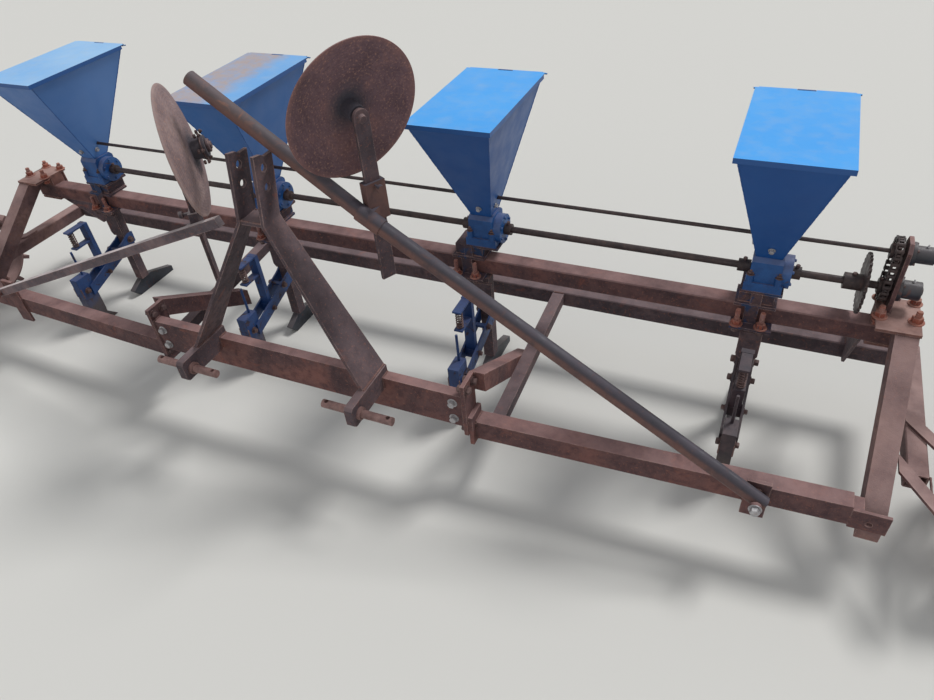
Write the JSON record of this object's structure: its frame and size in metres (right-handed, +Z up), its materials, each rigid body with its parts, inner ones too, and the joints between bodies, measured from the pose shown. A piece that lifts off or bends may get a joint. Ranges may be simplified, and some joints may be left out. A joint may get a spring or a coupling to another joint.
{
  "type": "seed drill",
  "caption": "Rusty mounted seed drill with blue seed boxes over a square toolbar, a front hitch frame with a tall mast, and two folded marker arms with discs",
  "frame": {"origin": "on the ground under the middle of the whole drill", "axes": "+X to the right of a driver who looks forward, along the toolbar; +Y to the rear; +Z up"},
  "size_m": [3.54, 0.854, 1.1355],
  "materials": {
    "rust_frame": "worn paint with rust brown all over",
    "rust_dark": "dark rust brown",
    "rust_light": "sun bleached rust brown",
    "rust_orange": "rust brown with orange red nuts",
    "clamp_dark": "dark blue brown paint and rust with orange red nuts",
    "rust_grey": "grey brown rust with orange at the upper end",
    "rust_pale": "pale pinkish brown rust",
    "pin_steel": "rusted bare steel",
    "shaft_steel": "almost black oily steel",
    "blue_dark": "dark blue paint with rusty edges",
    "blue_light": "bright blue paint, sun faded",
    "blue_cast": "blue painted castings",
    "cast_brown": "brown bare castings",
    "disc_dark": "dark rusty steel",
    "disc_light": "light brown rusty steel"
  },
  "bodies": {
    "frame": {"toolbar": "rust_frame", "front_beam": "rust_frame", "wings": "rust_frame", "end_beams": "rust_light", "end_clamps": "rust_orange", "end_brackets": "rust_frame", "lower_rail": "rust_dark", "side_beams": "rust_light", "struts": "rust_dark", "braces": "rust_light", "joint_plates": "rust_frame", "end_hangers": "rust_dark", "mast": "rust_dark", "hitch_arms": "rust_dark", "link_pins": "pin_steel", "hopper_1": "blue_dark", "hopper_2": "blue_dark", "hopper_3": "blue_dark", "hopper_4": "blue_dark", "meters": "blue_cast", "meter_bases": "clamp_dark", "unit_legs": "rust_dark", "opener_arms": "blue_dark", "boots": "blue_dark", "springs": "pin_steel", "shoes": "cast_brown", "carrier_plate": "rust_frame", "bearings": "cast_brown", "chain_short": "shaft_steel", "chain_drive": "shaft_steel", "wheel_carriers": "rust_light", "marker_brackets": "rust_frame"},
    "lid_1_body": {"lid_1": "blue_light"},
    "lid_2_body": {"lid_2": "blue_light"},
    "lid_3_body": {"lid_3": "blue_light"},
    "lid_4_body": {"lid_4": "blue_light"},
    "meter_shaft_body": {"meter_shaft": "shaft_steel"},
    "agitator_shaft_body": {"agitator_shaft": "shaft_steel"},
    "wheel_left_body": {"wheel_left": "rust_light"},
    "wheel_right_body": {"wheel_right": "rust_light"},
    "marker_pole_body": {"marker_pole": "rust_grey", "disc_leg_1": "rust_dark"},
    "marker_bar_body": {"marker_bar": "rust_pale", "disc_leg_2": "rust_dark"},
    "disc_1_body": {"disc_1": "disc_dark"},
    "disc_2_body": {"disc_2": "disc_light"}
  },
  "joints": [
    {"name": "lid_1_hinge", "type": "hinge", "parent": "frame", "child": "lid_1_body", "pos_m": [-1.125, 0.423, 0.876], "axis": [-1, 0, 0], "range_deg": [0, 105]},
    {"name": "lid_2_hinge", "type": "hinge", "parent": "frame", "child": "lid_2_body", "pos_m": [-0.375, 0.423, 0.876], "axis": [-1, 0, 0], "range_deg": [0, 105]},
    {"name": "lid_3_hinge", "type": "hinge", "parent": "frame", "child": "lid_3_body", "pos_m": [0.375, 0.423, 0.876], "axis": [-1, 0, 0], "range_deg": [0, 105]},
    {"name": "lid_4_hinge", "type": "hinge", "parent": "frame", "child": "lid_4_body", "pos_m": [1.125, 0.423, 0.876], "axis": [-1, 0, 0], "range_deg": [0, 105]},
    {"name": "meter_shaft_turn", "type": "hinge", "parent": "frame", "child": "meter_shaft_body", "pos_m": [0, 0.223, 0.511], "axis": [1, 0, 0], "continuous": true},
    {"name": "agitator_shaft_turn", "type": "hinge", "parent": "frame", "child": "agitator_shaft_body", "pos_m": [0, 0.223, 0.60625], "axis": [1, 0, 0], "continuous": true},
    {"name": "wheel_left_turn", "type": "hinge", "parent": "frame", "child": "wheel_left_body", "pos_m": [-1.7, -0.04544, 0.19], "axis": [1, 0, 0], "continuous": true},
    {"name": "wheel_right_turn", "type": "hinge", "parent": "frame", "child": "wheel_right_body", "pos_m": [1.7, -0.04544, 0.19], "axis": [1, 0, 0], "continuous": true},
    {"name": "marker_pole_swing", "type": "hinge", "parent": "frame", "child": "marker_pole_body", "pos_m": [1.205, -0.265, 0.229], "axis": [0, 1, 0], "range_deg": [0, 142]},
    {"name": "marker_bar_swing", "type": "hinge", "parent": "frame", "child": "marker_bar_body", "pos_m": [-1.205, -0.265, 0.28], "axis": [0, -1, 0], "range_deg": [0, 152]},
    {"name": "disc_1_turn", "type": "hinge", "parent": "marker_pole_body", "child": "disc_1_body", "pos_m": [0.25633, -0.15247, 0.98098], "axis": [-0.8556, 0.4549, 0.247], "continuous": true},
    {"name": "disc_2_turn", "type": "hinge", "parent": "marker_bar_body", "child": "disc_2_body", "pos_m": [-0.21622, -0.20411, 0.86158], "axis": [0.8002, 0.5921, 0.0958], "continuous": true}
  ],
  "couplings": [
    {"joint": "agitator_shaft_turn", "follows": "wheel_right_turn", "ratio": 1},
    {"joint": "meter_shaft_turn", "follows": "wheel_right_turn", "ratio": 1}
  ]
}
